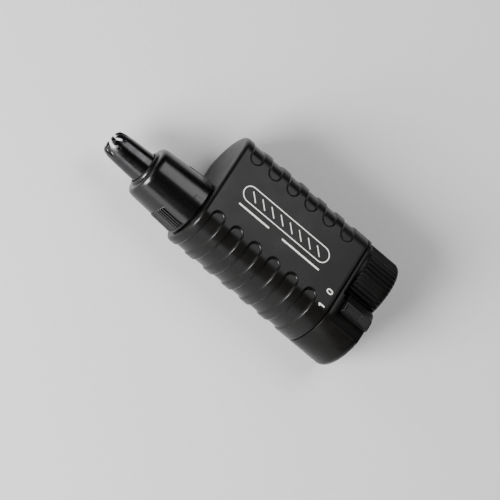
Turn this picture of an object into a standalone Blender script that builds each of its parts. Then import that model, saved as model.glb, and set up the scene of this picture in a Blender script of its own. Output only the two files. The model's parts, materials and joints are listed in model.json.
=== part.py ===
"""Nose and ear hair trimmer with a side-by-side motor and battery body.

The trimmer is modelled standing up, in millimetres: X to the right, -Y out of
the front face and Z from the turning battery cover up to the cutting tip. The
empty "trimmer_datum" lays it on its back, so that in the finished model +Z is
out of the front face, +Y points to the tip and the back face lies on Z = 0.
"""

import math

import bmesh
import bpy
from mathutils import Matrix, Vector

MM = 0.001
CLEARANCE = 0.3
OVERCUT = 5.0
ROUND_STEPS = 36
SEAL_STEPS = 28
SMALL_STEPS = 18
TINY_STEPS = 12
SMOOTH_ANGLE = math.radians(35)

# Body, seen from the front
BODY_WIDTH = 43.0
BODY_DEPTH = 26.0
FLAT_WIDTH = 24.4
BODY_TOP = 68.0
PARTING_HEIGHT = 14.8
TIP_HEIGHT = 102.7
WALL = 2.0
EDGE_RADIUS = 1.4
FOOT_RADIUS = 2.7
END_POINTS = 13

# Parting line: a rebate and seal in the upper casing round a tongue on the lower
PARTING_GAP = 0.5
REBATE_INSET = 1.1
REBATE_HEIGHT = 1.4
SEAL_HEIGHT = 1.0
TONGUE_HEIGHT = 2.6
TONGUE_WALL = 1.2

# Finger grooves that run round each side
GROOVE_COUNT = 6
GROOVE_FIRST = 23.1
GROOVE_PITCH = 7.86
GROOVE_WIDTH = 5.0
GROOVE_DEPTH = 0.55
GROOVE_END_X = 10.2

# Nozzle and head
NOZZLE_X = -9.5
SPIGOT_RADIUS = 8.2
SPIGOT_BORE = 6.0
SPIGOT_TOP = 75.0
BEARING_LEDGE = 67.6
SHAFT_WAY_RADIUS = 4.6
HEAD_BASE = 68.5
HEAD_BORE = 8.8
STEP_HEIGHT = 78.2
HEAD_TOP = 88.0
TUBE_WALL = 0.45
CROWN_SLOTS = 9
SLOT_WIDTH = 1.25
SLOT_DEPTH = 3.4
SLOT_LEAN = math.radians(18)

# Turning cover over the battery
DIAL_X = 8.6
DIAL_RADIUS = 12.9
DIAL_BOTTOM = -0.3
DIAL_TOP = 13.3
DIAL_FOOT = 2.1
DIAL_ROOM_RADIUS = 13.25
RIB_COUNT = 48
RIB_DEPTH = 0.4
RIB_TOP = 11.8
COVER_BORE = 7.9
COVER_FLOOR = 1.6
NECK_RADIUS = 9.2
NECK_BORE_RADIUS = 9.9
NECK_TOP = 19.5

# Switch slide, at off, in its track across the lower casing's front
SLIDE_LEFT = -9.6
SLIDE_RIGHT = -5.8
SLIDE_SKIRT = -2.4
SLIDE_FRONT = 13.0
SLIDE_TOP = 11.1
SLIDE_BOTTOM = 0.0
SLIDE_EDGE = 0.35
TRACK_LEFT = -14.9
TRACK_RIGHT = -4.6
TRACK_DEPTH = 2.3
TRACK_TOP = 12.8

# Hollow of the lower casing's lobe
LOBE_FLOOR = 2.4
LOBE_WALL = 1.6

# Battery, a size AA cell
CELL_RADIUS = 7.25
CELL_BOTTOM = 5.0
CELL_SHOULDER = 54.4
CELL_TOP = 55.5
TUBE_BORE = 7.6
TUBE_RADIUS = 8.8
TUBE_BOTTOM = 20.3
TUBE_TOP = 57.6
TUBE_ROOF = 1.2
SPRING_TURNS = 3
SPRING_WIRE_RADIUS = 0.3

# Motor
MOTOR_THICK = 15.1
MOTOR_DEEP = 19.6
MOTOR_BOTTOM = 20.0
MOTOR_TOP = 45.0
CAN_WALL = 0.7
END_CAP_HEIGHT = 4.0
CAP_WALL = 1.3
BOSS_RADIUS = 3.0
BOSS_HEIGHT = 1.2
SHAFT_RADIUS = 1.0
SHAFT_TOP = 54.0
ROTOR_RADIUS = 5.2
ROTOR_BOTTOM = 27.5
ROTOR_TOP = 39.5
POLE_COUNT = 3
SHOE_HALF_ARC = math.radians(46)
COIL_THICKNESS = 1.0
MAGNET_INNER = 5.7
MAGNET_OUTER = 8.8
MAGNET_HALF_ARC = math.radians(41)
PLATE_BOTTOM = 45.4
PLATE_TOP = 47.0
BRUSH_ARM_Y = 6.0
BRUSH_ARM_THICKNESS = 0.4
BRUSH_HALF_WIDTH = 1.2
TERMINAL_BOTTOM = 17.8
CARBON_WIDTH = 1.6
COMMUTATOR_RADIUS = 1.7
COMMUTATOR_BOTTOM = 23.9
COMMUTATOR_TOP = 26.1
SCREW_Y = 6.5

# Contacts and leads
LEAF_THICKNESS = 0.3
LEAD_RADIUS = 0.42
LEAD_X = 1.0
LEAD_Y = 7.6

# Drive to the blade
DRIVE_RADIUS = 1.5
DRIVE_TOP = 80.0
BLADE_BOTTOM = 91.1
BLADE_TOP = 101.4
BLADE_HALF_WIDTH = 3.5
BLADE_THICKNESS = 0.6

PALETTE = {
    "casing_black": ((0.020, 0.019, 0.019, 1.0), 0.48, 0.0),
    "gloss_black": ((0.010, 0.010, 0.011, 1.0), 0.22, 0.0),
    "slide_grey": ((0.050, 0.050, 0.052, 1.0), 0.50, 0.0),
    "blade_steel": ((0.30, 0.30, 0.31, 1.0), 0.30, 1.0),
    "bright_steel": ((0.62, 0.62, 0.64, 1.0), 0.25, 1.0),
    "seal_rubber": ((0.012, 0.012, 0.012, 1.0), 0.80, 0.0),
    "chassis_grey": ((0.35, 0.36, 0.37, 1.0), 0.55, 0.0),
    "white_nylon": ((0.80, 0.79, 0.74, 1.0), 0.45, 0.0),
    "magnet_grey": ((0.06, 0.06, 0.065, 1.0), 0.70, 0.2),
    "copper": ((0.72, 0.28, 0.13, 1.0), 0.35, 1.0),
    "brass": ((0.75, 0.55, 0.22, 1.0), 0.35, 1.0),
    "cell_wrap": ((0.10, 0.14, 0.20, 1.0), 0.35, 0.0),
    "lead_red": ((0.55, 0.03, 0.02, 1.0), 0.45, 0.0),
    "lead_black": ((0.015, 0.015, 0.015, 1.0), 0.45, 0.0),
}


def clear_scene():
    for obj in list(bpy.data.objects):
        bpy.data.objects.remove(obj, do_unlink=True)


def finish(name):
    """The material of that name, made the first time it is asked for."""
    mat = bpy.data.materials.get(name)
    if mat is None:
        colour, roughness, metallic = PALETTE[name]
        mat = bpy.data.materials.new(name)
        mat.use_nodes = True
        shader = mat.node_tree.nodes["Principled BSDF"]
        shader.inputs["Base Color"].default_value = colour
        shader.inputs["Roughness"].default_value = roughness
        shader.inputs["Metallic"].default_value = metallic
        mat.diffuse_color = colour
    return mat


def make_datum():
    """The empty that lays the standing trimmer on its back."""
    datum = bpy.data.objects.new("trimmer_datum", None)
    bpy.context.scene.collection.objects.link(datum)
    middle = (DIAL_BOTTOM + TIP_HEIGHT) / 2
    datum.location = Vector((0.0, -middle, BODY_DEPTH / 2)) * MM
    datum.rotation_euler = (-math.pi / 2, 0.0, 0.0)


def add_piece(name, bm, look, at=(0.0, 0.0, 0.0), turn=0.0):
    """Closes off a mesh drawn in millimetres and stands it in the trimmer's frame."""
    bmesh.ops.remove_doubles(bm, verts=bm.verts, dist=0.0005)
    bmesh.ops.recalc_face_normals(bm, faces=bm.faces)
    bmesh.ops.scale(bm, vec=(MM, MM, MM), verts=bm.verts)
    mesh = bpy.data.meshes.new(name)
    bm.to_mesh(mesh)
    bm.free()
    mesh.shade_smooth()
    mesh.set_sharp_from_angle(angle=SMOOTH_ANGLE)
    mesh.materials.append(finish(look))
    piece = bpy.data.objects.new(name, mesh)
    bpy.context.scene.collection.objects.link(piece)
    piece.parent = bpy.data.objects["trimmer_datum"]
    piece.location = Vector(at) * MM
    piece.rotation_euler = (0.0, 0.0, turn)
    return piece


def combine(piece, tool, operation):
    """Cuts the tool out of the piece, or adds it, and removes the tool."""
    modifier = piece.modifiers.new(operation.lower(), "BOOLEAN")
    modifier.operation = operation
    modifier.object = tool
    bpy.context.view_layer.update()
    graph = bpy.context.evaluated_depsgraph_get()
    mesh = bpy.data.meshes.new_from_object(piece.evaluated_get(graph), depsgraph=graph)
    piece.modifiers.clear()
    piece.data = mesh
    mesh.shade_smooth()
    mesh.set_sharp_from_angle(angle=SMOOTH_ANGLE)
    bpy.data.objects.remove(tool, do_unlink=True)


def cut(piece, *tools):
    for tool in tools:
        combine(piece, tool, "DIFFERENCE")


def join(piece, *tools):
    for tool in tools:
        combine(piece, tool, "UNION")


def turned(name, profile, look, at=(0.0, 0.0, 0.0), steps=ROUND_STEPS):
    """A lathe-turned piece: a profile from axis to axis is solid, any other makes a closed ring."""
    bm = bmesh.new()
    points = [bm.verts.new((radius, 0.0, height)) for radius, height in profile]
    edges = [bm.edges.new(pair) for pair in zip(points, points[1:])]
    if profile[0][0] > 0:
        edges.append(bm.edges.new((points[-1], points[0])))
    bmesh.ops.spin(
        bm, geom=points + edges, cent=(0, 0, 0), axis=(0, 0, 1), dvec=(0, 0, 0),
        angle=2 * math.pi, steps=steps, use_merge=True, use_duplicate=False,
    )
    return add_piece(name, bm, look, at)


def pin(name, radius, bottom, top, look="casing_black", at=(0.0, 0.0, 0.0), steps=SMALL_STEPS):
    profile = [(0.0, bottom), (radius, bottom), (radius, top), (0.0, top)]
    return turned(name, profile, look, at, steps)


def solid(name, loops, look="casing_black", at=(0.0, 0.0, 0.0), turn=0.0):
    """A solid through a row of loops of 3-D points, each with the same number of points."""
    bm = bmesh.new()
    rows = [[bm.verts.new(point) for point in loop] for loop in loops]
    count = len(rows[0])
    for low, high in zip(rows, rows[1:]):
        for i in range(count):
            j = (i + 1) % count
            bm.faces.new((low[i], low[j], high[j], high[i]))
    bm.faces.new(rows[0])
    bm.faces.new(rows[-1])
    return add_piece(name, bm, look, at, turn)


def lofted(name, rings, look="casing_black", at=(0.0, 0.0, 0.0), turn=0.0):
    """A solid through a stack of (height, outline) rings."""
    loops = [[(x, y, height) for x, y in outline] for height, outline in rings]
    return solid(name, loops, look, at, turn)


def prism(name, outline, bottom, top, look="casing_black", at=(0.0, 0.0, 0.0), turn=0.0):
    return lofted(name, [(bottom, outline), (top, outline)], look, at, turn)


def block(name, low, high, look="casing_black", at=(0.0, 0.0, 0.0), turn=0.0):
    """A box between two opposite corners."""
    outline = [(low[0], low[1]), (high[0], low[1]), (high[0], high[1]), (low[0], high[1])]
    return prism(name, outline, low[2], high[2], look, at, turn)


def wire(name, route, radius, look, at=(0.0, 0.0, 0.0)):
    """A round wire along a smooth route, as a bevelled curve with filled ends."""
    curve = bpy.data.curves.new(name, "CURVE")
    curve.dimensions = "3D"
    curve.bevel_depth = radius * MM
    curve.bevel_resolution = 1
    curve.use_fill_caps = True
    spline = curve.splines.new("POLY")
    spline.points.add(len(route) - 1)
    for point, place in zip(spline.points, route):
        point.co = (*(Vector(place) * MM), 1.0)
    curve.materials.append(finish(look))
    piece = bpy.data.objects.new(name, curve)
    bpy.context.scene.collection.objects.link(piece)
    piece.parent = bpy.data.objects["trimmer_datum"]
    piece.location = Vector(at) * MM
    return piece


def smooth_route(corners, steps=5):
    """Points along a Catmull-Rom curve through the corners."""
    path = [Vector(c) for c in corners]
    path = [2 * path[0] - path[1]] + path + [2 * path[-1] - path[-2]]
    route = []
    for a, b, c, d in zip(path, path[1:], path[2:], path[3:]):
        for i in range(steps):
            t = i / steps
            route.append(0.5 * (2 * b + (c - a) * t + (2 * a - 5 * b + 4 * c - d) * t ** 2
                                + (3 * b - a - 3 * c + d) * t ** 3))
    route.append(path[-2])
    return route


def arc(radius, start, end, count):
    """Points along an arc about the origin, angles in radians from +X."""
    angles = [start + (end - start) * i / (count - 1) for i in range(count)]
    return [(radius * math.cos(a), radius * math.sin(a)) for a in angles]


def body_outline(inset=0.0):
    """The body's section: flat front and back, with an elliptical side at each end."""
    side = (BODY_WIDTH - FLAT_WIDTH) / 2 - inset
    deep = BODY_DEPTH / 2 - inset
    half_turn = arc(1.0, -math.pi / 2, math.pi / 2, END_POINTS)
    right = [(FLAT_WIDTH / 2 + side * x, deep * y) for x, y in half_turn]
    left = [(-x, -y) for x, y in right]
    return right + left


def foot_rings(bottom, radius, outline, steps=3):
    """Rings that round off a lower edge; outline(inset) gives the section."""
    turns = [math.pi / 2 * i / steps for i in range(steps + 1)]
    return [(bottom + radius * (1 - math.cos(a)), outline(radius * (1 - math.sin(a)))) for a in turns]


def shoulder_rings(top, radius, outline, steps=3):
    """Rings that round off an upper edge, in order going up."""
    turns = [math.pi / 2 * i / steps for i in range(steps + 1)]
    return [(top - radius * (1 - math.sin(a)), outline(radius * (1 - math.cos(a)))) for a in turns]


def grip_groove_tool(side, height):
    """A slot through the body with a round end on the flat face, open past the body's side."""
    radius = GROOVE_WIDTH / 2
    centre_x = GROOVE_END_X + radius
    outline = [(BODY_WIDTH, height - radius)]
    outline += [(centre_x - radius * math.sin(a), height - radius * math.cos(a))
                for a in (math.pi * i / 8 for i in range(9))]
    outline += [(BODY_WIDTH, height + radius)]
    loops = [[(side * x, y, z) for x, z in outline] for y in (-BODY_DEPTH, BODY_DEPTH)]
    return solid("grip_groove_tool", loops)


def make_main_casing():
    """The upper casing, a deep cup open at the parting line, with the spigot that the head turns on."""
    bottom = PARTING_HEIGHT + PARTING_GAP / 2
    rings = [(bottom, body_outline())] + shoulder_rings(BODY_TOP, EDGE_RADIUS, body_outline)
    casing = lofted("main_casing", rings)
    for side in (-1, 1):
        for i in range(GROOVE_COUNT):
            cut(casing, grip_groove_tool(side, GROOVE_FIRST + GROOVE_PITCH * i))
    core = prism("groove_floor", body_outline(GROOVE_DEPTH), bottom + 1.0, BODY_TOP - EDGE_RADIUS)
    join(casing, core)
    spigot_foot = BODY_TOP - WALL / 2
    at = (NOZZLE_X, 0, 0)
    join(casing, pin("spigot", SPIGOT_RADIUS, spigot_foot, SPIGOT_TOP, at=at, steps=ROUND_STEPS))
    cut(
        casing,
        prism("cavity", body_outline(WALL), 0.0, BODY_TOP - WALL),
        prism("seal_rebate", body_outline(REBATE_INSET), 0.0, bottom + REBATE_HEIGHT),
        pin("bearing_seat", SPIGOT_BORE, BEARING_LEDGE, SPIGOT_TOP + OVERCUT, at=at),
        pin("shaft_way", SHAFT_WAY_RADIUS, BODY_TOP - OVERCUT, BODY_TOP + 1, at=at),
    )


def make_casing_seal():
    """The flat-sided rubber ring in the rebate at the parting line."""
    bottom = PARTING_HEIGHT + 0.35
    section = body_outline(REBATE_INSET + CLEARANCE)
    seal = prism("casing_seal", section, bottom, bottom + SEAL_HEIGHT, "seal_rubber")
    cut(seal, prism("seal_hole", body_outline(WALL), bottom - OVERCUT, bottom + OVERCUT))


def lobe_cavity_tool():
    """The hollow of the lower casing's lobe, kept behind the switch track, clear of the dial and under the tongue."""
    ledge = PARTING_HEIGHT - PARTING_GAP / 2 - LOBE_WALL
    tool = prism("lobe_cavity", body_outline(WALL), LOBE_FLOOR, ledge)
    mouth = body_outline(WALL + CLEARANCE + TONGUE_WALL)
    join(tool, prism("lobe_mouth", mouth, ledge - 0.5, PARTING_HEIGHT + OVERCUT))
    track_back = TRACK_DEPTH + LOBE_WALL - BODY_DEPTH / 2
    track_low = (TRACK_LEFT - LOBE_WALL, -BODY_DEPTH, 0)
    cut(
        tool,
        block("track_limit", track_low, (BODY_WIDTH, track_back, BODY_TOP)),
        pin("dial_limit", DIAL_ROOM_RADIUS + LOBE_WALL, 0, BODY_TOP, at=(DIAL_X, 0, 0), steps=ROUND_STEPS),
        block("side_limit", (TRACK_RIGHT - LOBE_WALL, -BODY_DEPTH, 0), (BODY_WIDTH, BODY_DEPTH, BODY_TOP)),
    )
    return tool


def make_bottom_casing():
    """The lower casing: a flange at the parting line, and the lobe beside the switch cover."""
    flange = PARTING_HEIGHT - PARTING_GAP / 2
    rings = foot_rings(0.0, FOOT_RADIUS, body_outline, 4) + [(flange, body_outline())]
    casing = lofted("bottom_casing", rings)
    tongue_outer = WALL + CLEARANCE
    tongue_top = PARTING_HEIGHT + TONGUE_HEIGHT
    join(casing, prism("tongue", body_outline(tongue_outer), flange - 0.5, tongue_top))
    under_flange = DIAL_TOP + CLEARANCE
    front = -BODY_DEPTH
    dial_at = (DIAL_X, 0, 0)
    cut(
        casing,
        prism("tongue_hole", body_outline(tongue_outer + TONGUE_WALL), flange, tongue_top + OVERCUT),
        block("dial_side", (TRACK_RIGHT, front, -OVERCUT), (BODY_WIDTH, -front, under_flange)),
        pin("dial_room", DIAL_ROOM_RADIUS, -OVERCUT, under_flange, at=dial_at, steps=ROUND_STEPS),
        block("track", (TRACK_LEFT, front, -OVERCUT), (0, TRACK_DEPTH - BODY_DEPTH / 2, TRACK_TOP)),
        pin("neck_bore", NECK_BORE_RADIUS, OVERCUT, tongue_top + OVERCUT, at=dial_at, steps=ROUND_STEPS),
        lobe_cavity_tool(),
    )


def make_inner_chassis():
    """The frame inside: a shelf over the motor, and the tube that takes the battery."""
    section = body_outline(WALL + CLEARANCE)
    chassis = prism("inner_chassis", section, PLATE_BOTTOM, PLATE_TOP, "chassis_grey")
    dial_at = (DIAL_X, 0, 0)
    below = PLATE_BOTTOM - OVERCUT
    above = PLATE_TOP + OVERCUT
    roof = TUBE_TOP - TUBE_ROOF
    join(chassis, pin("cell_tube", TUBE_RADIUS, TUBE_BOTTOM, TUBE_TOP, at=dial_at, steps=ROUND_STEPS))
    cut(
        chassis,
        pin("cell_bore", TUBE_BORE, 0, roof, at=dial_at, steps=ROUND_STEPS),
        pin("boss_hole", BOSS_RADIUS + 0.4, below, above, at=(NOZZLE_X, 0, 0)),
        block("contact_slot", (-2, -2, CELL_TOP), (2, 2, roof)),
    )
    for side in (-1, 1):
        cut(
            chassis,
            pin("lead_hole", 1.1, below, above, at=(LEAD_X, side * LEAD_Y, 0), steps=TINY_STEPS),
            pin("screw_hole", 1.2, below, above, at=(NOZZLE_X, side * SCREW_Y, 0), steps=TINY_STEPS),
        )


def motor_outline(inset=0.0):
    """A small can motor's section: a circle with two flats."""
    radius = MOTOR_DEEP / 2 - inset
    half_flat = math.acos((MOTOR_THICK / 2 - inset) / radius)
    back = arc(radius, half_flat, math.pi - half_flat, 11)
    return back + [(-x, -y) for x, y in back]


def make_motor_can():
    """The drawn steel can, open below, with the bearing boss on top."""
    bottom = MOTOR_BOTTOM + END_CAP_HEIGHT
    at = (NOZZLE_X, 0, 0)
    can = prism("motor_can", motor_outline(), bottom, MOTOR_TOP, "bright_steel", at)
    join(can, pin("boss", BOSS_RADIUS, MOTOR_TOP - CAN_WALL / 2, MOTOR_TOP + BOSS_HEIGHT, at=at))
    low = MOTOR_TOP - OVERCUT
    high = MOTOR_TOP + OVERCUT
    cut(
        can,
        prism("can_room", motor_outline(CAN_WALL), bottom - 1, MOTOR_TOP - CAN_WALL, at=at),
        pin("shaft_hole", SHAFT_RADIUS + CLEARANCE, low, high, at=at),
        pin("tapped_hole_front", 1.1, low, high, at=(NOZZLE_X, -SCREW_Y, 0), steps=TINY_STEPS),
        pin("tapped_hole_back", 1.1, low, high, at=(NOZZLE_X, SCREW_Y, 0), steps=TINY_STEPS),
    )


def make_motor_end_cap():
    """The moulded cap that closes the can and carries the brushes."""
    at = (NOZZLE_X, 0, 0)
    top = MOTOR_BOTTOM + END_CAP_HEIGHT - CLEARANCE
    cap = prism("motor_end_cap", motor_outline(), MOTOR_BOTTOM, top, "white_nylon", at)
    cut(
        cap,
        prism("cap_room", motor_outline(CAP_WALL), MOTOR_BOTTOM + CAP_WALL, top + 1, at=at),
        pin("tail_bearing", SHAFT_RADIUS + CLEARANCE, 0, MOTOR_BOTTOM + OVERCUT, at=at),
    )
    across = BRUSH_HALF_WIDTH + 0.4
    for y in (-BRUSH_ARM_Y, BRUSH_ARM_Y):
        slot = block("arm_slot", (-across, y - 0.5, 0), (across, y + 0.5, MOTOR_BOTTOM + 3), at=at)
        cut(cap, slot)


def make_brush(side, place):
    """One springy brush arm, whose tail is the motor's terminal, and its carbon."""
    at = (NOZZLE_X, 0, 0)
    y = side * BRUSH_ARM_Y
    low = (-BRUSH_HALF_WIDTH, y - BRUSH_ARM_THICKNESS / 2, TERMINAL_BOTTOM)
    high = (BRUSH_HALF_WIDTH, y + BRUSH_ARM_THICKNESS / 2, COMMUTATOR_TOP)
    block(f"brush_arm_{place}", low, high, "copper", at)
    far = y - side * (BRUSH_ARM_THICKNESS / 2 + CLEARANCE)
    near = side * (COMMUTATOR_RADIUS + CLEARANCE)
    low = (-CARBON_WIDTH / 2, min(far, near), COMMUTATOR_BOTTOM + CLEARANCE)
    high = (CARBON_WIDTH / 2, max(far, near), COMMUTATOR_BOTTOM + CLEARANCE + CARBON_WIDTH)
    block(f"carbon_brush_{place}", low, high, "magnet_grey", at)


def make_magnet(side, place):
    """One curved magnet on the can's round side."""
    middle = side * math.pi / 2
    outline = arc(MAGNET_OUTER, middle - MAGNET_HALF_ARC, middle + MAGNET_HALF_ARC, 9)
    outline += arc(MAGNET_INNER, middle + MAGNET_HALF_ARC, middle - MAGNET_HALF_ARC, 9)
    at = (NOZZLE_X, 0, 0)
    prism(f"magnet_{place}", outline, ROTOR_BOTTOM - 1, ROTOR_TOP + 1, "magnet_grey", at)


def rotor_outline():
    """Three wound poles, each a neck with a curved shoe."""
    outline = []
    under = 4.5
    neck = [(2.4, 1.1), (4.2, 1.1), (under * math.cos(SHOE_HALF_ARC), under * math.sin(SHOE_HALF_ARC))]
    pole = [(x, -y) for x, y in neck] + arc(ROTOR_RADIUS, -SHOE_HALF_ARC, SHOE_HALF_ARC, 7) + neck[::-1]
    for k in range(POLE_COUNT):
        spin = Matrix.Rotation(2 * math.pi / POLE_COUNT * k, 2)
        outline += [tuple(spin @ Vector(point)) for point in pole]
    return outline


def make_rotor_coil(index):
    """One pole's winding, a flat hoop round the pole's neck."""
    at = (NOZZLE_X, 0, 0)
    turn = 2 * math.pi / POLE_COUNT * index
    over = CLEARANCE + COIL_THICKNESS
    low = (2.7, -1.1 - over, ROTOR_BOTTOM - over)
    high = (3.35, 1.1 + over, ROTOR_TOP + over)
    coil = block(f"rotor_coil_{index + 1}", low, high, "copper", at, turn)
    low = (2.0, -1.1 - CLEARANCE, ROTOR_BOTTOM - CLEARANCE)
    high = (4.0, 1.1 + CLEARANCE, ROTOR_TOP + CLEARANCE)
    cut(coil, block("neck_room", low, high, at=at, turn=turn))


def make_rotor():
    """The armature on its shaft: core, coils and commutator."""
    at = (NOZZLE_X, 0, 0)
    inner = SHAFT_RADIUS + CLEARANCE
    pin("motor_shaft", SHAFT_RADIUS, MOTOR_BOTTOM + CLEARANCE, SHAFT_TOP, "bright_steel", at)
    core = prism("rotor_core", rotor_outline(), ROTOR_BOTTOM, ROTOR_TOP, "bright_steel", at)
    cut(core, pin("core_bore", inner, ROTOR_BOTTOM - 1, ROTOR_TOP + 1, at=at))
    for index in range(POLE_COUNT):
        make_rotor_coil(index)
    ring = [(inner, COMMUTATOR_BOTTOM), (COMMUTATOR_RADIUS, COMMUTATOR_BOTTOM),
            (COMMUTATOR_RADIUS, COMMUTATOR_TOP), (inner, COMMUTATOR_TOP)]
    turned("commutator", ring, "copper", at, SMALL_STEPS)


def make_motor_screw(side, place):
    """A pan-head screw through the shelf into the motor's face."""
    tip = MOTOR_TOP - 1.2
    seat = PLATE_TOP + CLEARANCE
    profile = [(0.0, tip), (0.8, tip), (0.8, seat), (1.8, seat), (1.8, seat + 0.8), (1.4, seat + 1.2),
               (0.0, seat + 1.2)]
    at = (NOZZLE_X, side * SCREW_Y, 0)
    turned(f"motor_screw_{place}", profile, "bright_steel", at, TINY_STEPS)


def make_drive():
    """The coupling sleeve, the drive shaft, and the bearing and lip seal in the spigot."""
    at = (NOZZLE_X, 0, 0)
    socket = DRIVE_RADIUS + CLEARANCE
    sleeve = [(SHAFT_RADIUS + CLEARANCE, 50.0), (2.6, 50.0), (2.6, 58.5), (socket, 58.5),
              (socket, SHAFT_TOP + 0.6), (SHAFT_RADIUS + CLEARANCE, SHAFT_TOP + 0.6)]
    turned("drive_coupling", sleeve, "white_nylon", at, SMALL_STEPS)
    pin("drive_shaft", DRIVE_RADIUS, SHAFT_TOP + 0.9, DRIVE_TOP, "bright_steel", at)
    outer = SPIGOT_BORE - CLEARANCE
    bearing = [(socket, BODY_TOP - 0.1), (outer, BODY_TOP - 0.1), (outer, 71.6), (socket, 71.6)]
    turned("nozzle_bearing", bearing, "brass", at, SMALL_STEPS)
    lip = [(socket, 72.6), (2.6, 71.9), (outer, 71.9), (outer, 73.6), (3.6, 73.6), (socket, 73.2)]
    turned("shaft_seal", lip, "seal_rubber", at, SMALL_STEPS)


def make_cutter():
    """The turning cutter: a moulded holder that plugs onto the drive shaft, and its blade."""
    at = (NOZZLE_X, 0, 0)
    socket = DRIVE_RADIUS + CLEARANCE
    profile = [(0.0, DRIVE_TOP + 0.3), (socket, DRIVE_TOP + 0.3), (socket, 76.0), (2.9, 76.0), (3.2, 76.4),
               (3.2, 81.5), (1.9, 83.0), (1.9, 93.3), (0.0, 93.3)]
    holder = turned("cutter_holder", profile, "white_nylon", at, SMALL_STEPS)
    half_slot = BLADE_THICKNESS / 2 + CLEARANCE
    cut(holder, block("blade_slot", (-3, -half_slot, BLADE_BOTTOM - CLEARANCE), (3, half_slot, 95), at=at))
    half = BLADE_HALF_WIDTH
    right = [(1.3, BLADE_BOTTOM), (1.3, 94.0), (half, 95.6), (half, 99.4), (half - 0.9, BLADE_TOP),
             (0.9, BLADE_TOP)]
    edge = right + [(0.0, BLADE_TOP - 1.6)] + [(-x, z) for x, z in reversed(right)]
    loops = [[(x, y, z) for x, z in edge] for y in (-BLADE_THICKNESS / 2, BLADE_THICKNESS / 2)]
    solid("cutter_blade", loops, "bright_steel", at)


def make_head_cone():
    """The nozzle that turns and lifts off, with a raised lip round the blade tube."""
    groove = HEAD_BORE + 0.7
    profile = [
        (HEAD_BORE, HEAD_BASE), (10.6, HEAD_BASE), (10.35, 72.0), (10.05, STEP_HEIGHT - 0.1),
        (9.75, STEP_HEIGHT), (9.2, 86.2), (8.95, 87.2), (8.4, 87.8), (7.6, HEAD_TOP), (6.5, HEAD_TOP),
        (6.3, 88.7), (5.9, 88.95), (5.65, 88.8), (5.65, 86.0), (7.9, 86.0), (8.0, 83.0),
        (HEAD_BORE, 77.0), (HEAD_BORE, 73.4), (groove, 73.2), (groove, 71.6), (HEAD_BORE, 71.4),
    ]
    turned("head_cone", profile, "gloss_black", (NOZZLE_X, 0, 0))


def make_ring_seal(name, inner, outer, bottom, x):
    """A rubber ring of six-sided section, one millimetre high."""
    edge = 0.15
    profile = [(inner, bottom + 0.5), (inner + edge, bottom), (outer - edge, bottom),
               (outer, bottom + 0.5), (outer - edge, bottom + 1.0), (inner + edge, bottom + 1.0)]
    turned(name, profile, "seal_rubber", (x, 0, 0), SEAL_STEPS)


def make_head_seal():
    """The O-ring in the nozzle's groove, which grips the spigot."""
    inner = SPIGOT_RADIUS + CLEARANCE
    outer = HEAD_BORE + 0.4
    make_ring_seal("head_seal", inner, outer, 71.9, NOZZLE_X)


def crown_slot_tool(index):
    """A leaning U-shaped slot between two of the crown's fingers."""
    angle = 2 * math.pi * (index + 0.25) / CROWN_SLOTS - math.pi / 2
    half = SLOT_WIDTH / 2
    bottom = TIP_HEIGHT - SLOT_DEPTH + half
    shape = [(half, 5.0), (-half, 5.0), (-half, 0.0)]
    shape += [(-half * math.cos(math.pi / 4 * i), -half * math.sin(math.pi / 4 * i)) for i in (1, 2, 3)]
    shape += [(half, 0.0)]
    loops = []
    for radius in (1.6, 7.0):
        loop = []
        for across, up in shape:
            along = across * math.cos(SLOT_LEAN) - up * math.sin(SLOT_LEAN)
            height = bottom + across * math.sin(SLOT_LEAN) + up * math.cos(SLOT_LEAN)
            loop.append((radius * math.cos(angle) - along * math.sin(angle),
                         radius * math.sin(angle) + along * math.cos(angle), height))
        loops.append(loop)
    return solid("crown_slot_tool", loops, at=(NOZZLE_X, 0, 0))


def make_outer_blade():
    """The fixed steel tube with its crown of inward-hooked fingers."""
    outside = [(7.4, 85.0), (7.4, 85.7), (5.35, 85.7), (5.35, 88.8), (4.87, 97.5), (4.66, 99.5),
               (4.3, 101.3), (3.9, 102.2), (3.3, TIP_HEIGHT), (2.7, TIP_HEIGHT - 0.05)]
    wall = TUBE_WALL
    inside = [(2.7, 102.25), (3.2, 102.2), (3.55, 101.8), (3.87, 101.1), (4.66 - wall, 99.4),
              (4.87 - wall, 97.5), (5.35 - wall, 88.8), (5.35 - wall, 85.0)]
    blade = turned("outer_blade", outside + inside, "blade_steel", (NOZZLE_X, 0, 0))
    for index in range(CROWN_SLOTS):
        cut(blade, crown_slot_tool(index))


def make_blade_retainer():
    """The ring that holds the blade tube's flange in the nozzle."""
    profile = [(6.0, 83.6), (7.6, 83.6), (7.6, 84.7), (6.0, 84.7)]
    turned("blade_retainer", profile, "white_nylon", (NOZZLE_X, 0, 0), SMALL_STEPS)


def ribbed_outline(radius, depth):
    """A circle with one V rib to each step."""
    count = 2 * RIB_COUNT
    radii = [radius - depth * (i % 2) for i in range(count)]
    return [(r * math.cos(math.pi * i / RIB_COUNT), r * math.sin(math.pi * i / RIB_COUNT))
            for i, r in enumerate(radii)]


def slide_outline(inset=0.0):
    """The switch slide's face, seen from the front, with its lower right corner rounded off."""
    low = SLIDE_BOTTOM + inset
    high = SLIDE_TOP - inset
    left = SLIDE_LEFT + inset
    right = SLIDE_RIGHT - inset
    corner = 1.2
    turn = arc(corner, -math.pi / 2, 0.0, 5)
    rounded = [(right - corner + x, low + corner + z) for x, z in turn]
    return [(left, high), (left, low)] + rounded + [(right, high)]


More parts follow.
